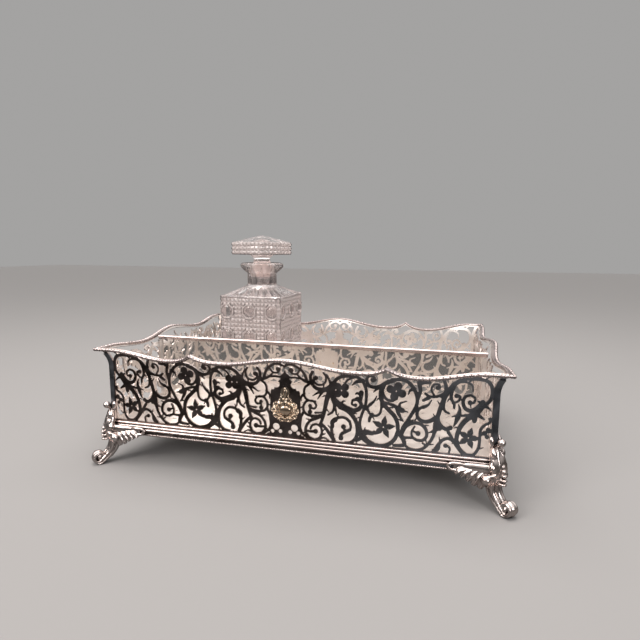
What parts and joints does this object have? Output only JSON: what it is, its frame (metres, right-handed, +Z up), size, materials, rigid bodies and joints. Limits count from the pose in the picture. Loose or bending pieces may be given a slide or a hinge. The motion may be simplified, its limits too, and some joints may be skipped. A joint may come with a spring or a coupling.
{
  "type": "inkstand",
  "caption": "Pierced rectangular silver gallery on scroll feet, with a lift-out divider and a square cut-glass stoppered ink bottle.",
  "frame": {"origin": "on the table, under the middle of the tray", "axes": "+X along the length of the tray to the right, -Y to the front, where the narrow pen trough is, +Z up"},
  "size_m": [0.3356, 0.2406, 0.1902],
  "materials": {
    "silver_plain": "burnished silver, lightly worn",
    "silver_pierced": "pierced and engraved silver, oxidised in the cuts",
    "silver_trim": "bright silver with dark lines in the reeding",
    "silver_cast": "cast and chased silver, oxidised in the hollows",
    "silver_mirror": "mirror polish",
    "gilt": "pale worn gilding",
    "clear_glass": "clear cut lead glass"
  },
  "bodies": {
    "stand": {"floor_plate": "silver_plain", "front_panel": "silver_pierced", "back_panel": "silver_pierced", "left_panel": "silver_pierced", "right_panel": "silver_pierced", "front_rim": "silver_trim", "back_rim": "silver_trim", "left_rim": "silver_trim", "right_rim": "silver_trim", "front_base_moulding": "silver_trim", "back_base_moulding": "silver_trim", "left_base_moulding": "silver_trim", "right_base_moulding": "silver_trim", "front_left_corner_strip": "silver_trim", "front_right_corner_strip": "silver_trim", "back_left_corner_strip": "silver_trim", "back_right_corner_strip": "silver_trim", "left_divider_channel": "silver_plain", "right_divider_channel": "silver_plain", "front_badge": "gilt", "back_badge": "gilt", "front_badge_pins": "gilt", "back_badge_pins": "gilt", "front_left_foot": "silver_cast", "front_right_foot": "silver_cast", "back_left_foot": "silver_cast", "back_right_foot": "silver_cast"},
    "divider": {"divider_panel": "silver_mirror", "divider_rail": "silver_trim"},
    "bottle": {"bottle": "clear_glass"},
    "stopper": {"stopper": "clear_glass"}
  },
  "joints": [
    {"name": "divider_lift", "type": "slide", "parent": "stand", "child": "divider", "axis": [0, 0, 1], "range_m": [0, 0.058]},
    {"name": "bottle_lift", "type": "slide", "parent": "stand", "child": "bottle", "axis": [0, 0, 1], "range_m": [0, 0.09]},
    {"name": "stopper_lift", "type": "slide", "parent": "bottle", "child": "stopper", "axis": [0, 0, 1], "range_m": [0, 0.03]}
  ]
}
